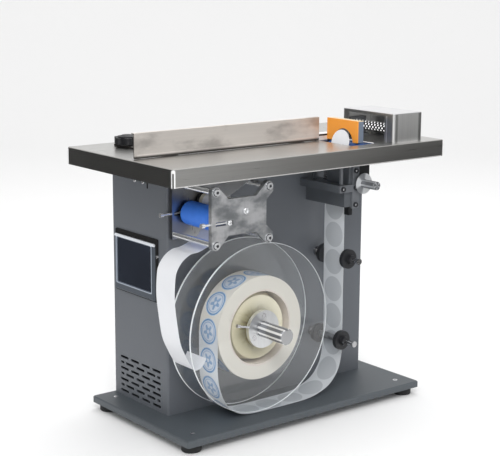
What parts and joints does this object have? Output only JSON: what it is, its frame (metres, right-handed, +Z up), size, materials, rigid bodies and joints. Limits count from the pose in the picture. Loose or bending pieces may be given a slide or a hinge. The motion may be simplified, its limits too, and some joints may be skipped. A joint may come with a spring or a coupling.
{
  "type": "round bottle labeling machine",
  "caption": "Table-top label dispenser for round labels: cabinet with touch panel, stainless table, clear-disc label spool, peel unit and backing-paper drive.",
  "frame": {"origin": "centre of the bounding box on the floor plane under the feet", "axes": "+X to the right along the table as seen from the spool side, +Y to the back, +Z up"},
  "size_m": [0.6, 0.338, 0.532],
  "materials": {
    "base_coat": "satin dark grey powder coat",
    "cabinet_coat": "blue-grey fine-textured powder coat",
    "foot_rubber": "matt",
    "bright_screw": "bright",
    "black_plastic": "matt",
    "switch_plastic": "satin red",
    "bezel_plastic": "satin light grey",
    "screen_glass": "dark gloss",
    "supply_case": "plain",
    "board": "green laminate",
    "motor_steel": "black and bare ends",
    "pulley_alloy": "turned",
    "belt_rubber": "matt",
    "table_steel": "brushed stainless",
    "cover_steel": "satin stainless",
    "frame_alloy": "clear anodised",
    "knurl_steel": "knurled",
    "block_alloy": "grey-blue anodised",
    "face_plastic": "orange",
    "roller_blue": "blue silicone sleeve",
    "shaft_steel": "ground",
    "plate_alloy": "milled",
    "dark_alloy": "black anodised",
    "clear_disc": "clear acrylic",
    "drum_nylon": "cast nylon",
    "hub_alloy": "turned",
    "core_board": "plain",
    "label_paper": "satin",
    "backing_paper": "glassine",
    "cheek_nylon": "cream nylon"
  },
  "bodies": {
    "machine": {"base_plate": "base_coat", "rubber_feet": "foot_rubber", "cabinet_screws": "bright_screw", "cabinet_shell": "cabinet_coat", "back_cover": "cabinet_coat", "power_inlet": "black_plastic", "panel_frame": "bezel_plastic", "panel_glass": "screen_glass", "power_supply": "supply_case", "control_board": "board", "step_motor": "motor_steel", "timing_belt": "belt_rubber", "table_top": "table_steel", "press_cover": "cover_steel", "press_frame": "frame_alloy", "guide_block": "block_alloy", "guide_face": "face_plastic", "peel_front_plate": "plate_alloy", "peel_bars": "dark_alloy", "peel_block": "dark_alloy", "peel_edge": "shaft_steel", "peel_screws": "bright_screw", "label_sensor": "black_plastic", "guide_shafts": "shaft_steel", "rear_collars": "black_plastic", "spool_bearing": "hub_alloy", "label_web": "label_paper", "waste_web": "backing_paper", "drive_front_plate": "plate_alloy", "drive_rear_plate": "frame_alloy", "tie_rods": "shaft_steel"},
    "fence": {"fence_plate": "table_steel", "fence_arms": "table_steel"},
    "left_fence_knob": {"fence_knob_left": "black_plastic"},
    "right_fence_knob": {"fence_knob_right": "black_plastic"},
    "press_roll": {"press_roller": "knurl_steel"},
    "table_roll": {"table_roller": "roller_blue", "table_roller_shaft": "shaft_steel"},
    "hand_knob": {"peel_knob": "hub_alloy"},
    "lower_guide_roller": {"lower_sleeve": "plate_alloy"},
    "upper_guide_roller": {"upper_sleeve": "plate_alloy"},
    "lower_guide_collar": {"lower_collar": "black_plastic"},
    "upper_guide_collar": {"upper_collar": "black_plastic"},
    "spool": {"spool_shaft": "shaft_steel", "rear_disc": "clear_disc", "core_drum": "drum_nylon", "label_core": "core_board", "label_roll": "label_paper"},
    "front_flange": {"front_disc": "clear_disc", "front_hub": "hub_alloy", "hub_screws": "bright_screw"},
    "drive": {"drive_roller": "cheek_nylon", "drive_shaft": "shaft_steel"},
    "motor_drive": {"motor_pulley": "pulley_alloy"},
    "carriage": {"pinch_carriage": "frame_alloy"},
    "pinch": {"pinch_roller": "roller_blue", "pinch_axle": "dark_alloy"},
    "front_screw": {"adjust_screw_front": "bright_screw"},
    "rear_screw": {"adjust_screw_rear": "bright_screw"},
    "rocker": {"power_rocker": "switch_plastic"}
  },
  "joints": [
    {"name": "fence_slide", "type": "slide", "parent": "machine", "child": "fence", "axis": [0, 1, 0], "range_m": [-0.015, 0.035]},
    {"name": "left_fence_knob_turn", "type": "hinge", "parent": "machine", "child": "left_fence_knob", "pos_m": [-0.214, 0.109, 0.49], "axis": [0, 0, 1], "continuous": true},
    {"name": "right_fence_knob_turn", "type": "hinge", "parent": "machine", "child": "right_fence_knob", "pos_m": [0.06, 0.109, 0.49], "axis": [0, 0, 1], "continuous": true},
    {"name": "press_roll_spin", "type": "hinge", "parent": "machine", "child": "press_roll", "pos_m": [0.206, -0.071, 0.502], "axis": [0, 1, 0], "continuous": true},
    {"name": "table_roll_spin", "type": "hinge", "parent": "machine", "child": "table_roll", "pos_m": [0.138, -0.071, 0.4605], "axis": [0, 1, 0], "continuous": true},
    {"name": "hand_knob_turn", "type": "hinge", "parent": "machine", "child": "hand_knob", "pos_m": [0.125, -0.127, 0.413], "axis": [0, 1, 0], "continuous": true},
    {"name": "lower_roller_spin", "type": "hinge", "parent": "machine", "child": "lower_guide_roller", "pos_m": [0.1037, -0.0685, 0.124], "axis": [0, 1, 0], "continuous": true},
    {"name": "upper_roller_spin", "type": "hinge", "parent": "machine", "child": "upper_guide_roller", "pos_m": [0.1163, -0.0685, 0.273], "axis": [0, 1, 0], "continuous": true},
    {"name": "lower_collar_slide", "type": "slide", "parent": "machine", "child": "lower_guide_collar", "axis": [0, -1, 0], "range_m": [0, 0.015]},
    {"name": "upper_collar_slide", "type": "slide", "parent": "machine", "child": "upper_guide_collar", "axis": [0, -1, 0], "range_m": [0, 0.01]},
    {"name": "spool_spin", "type": "hinge", "parent": "machine", "child": "spool", "pos_m": [-0.082, -0.0685, 0.178], "axis": [0, 1, 0], "continuous": true},
    {"name": "front_flange_slide", "type": "slide", "parent": "spool", "child": "front_flange", "axis": [0, -1, 0], "range_m": [0, 0.045]},
    {"name": "drive_spin", "type": "hinge", "parent": "machine", "child": "drive", "pos_m": [-0.15, -0.079, 0.3975], "axis": [0, 1, 0], "continuous": true},
    {"name": "motor_spin", "type": "hinge", "parent": "machine", "child": "motor_drive", "pos_m": [-0.15, 0.009, 0.3135], "axis": [0, 1, 0], "continuous": true},
    {"name": "pinch_slide", "type": "slide", "parent": "machine", "child": "carriage", "axis": [-1, 0, 0], "range_m": [0, 0.008]},
    {"name": "pinch_spin", "type": "hinge", "parent": "carriage", "child": "pinch", "pos_m": [-0.182, -0.079, 0.381], "axis": [0, 1, 0], "continuous": true},
    {"name": "front_screw_turn", "type": "hinge", "parent": "carriage", "child": "front_screw", "pos_m": [-0.215, -0.137, 0.381], "axis": [1, 0, 0], "continuous": true},
    {"name": "rear_screw_turn", "type": "hinge", "parent": "carriage", "child": "rear_screw", "pos_m": [-0.215, -0.021, 0.381], "axis": [1, 0, 0], "continuous": true},
    {"name": "rocker_turn", "type": "hinge", "parent": "machine", "child": "rocker", "pos_m": [0.1, 0.153, 0.089], "axis": [1, 0, 0], "range_deg": [-18, 0]}
  ],
  "couplings": [
    {"joint": "motor_spin", "follows": "drive_spin", "ratio": 1},
    {"joint": "pinch_spin", "follows": "drive_spin", "ratio": -0.7124}
  ]
}
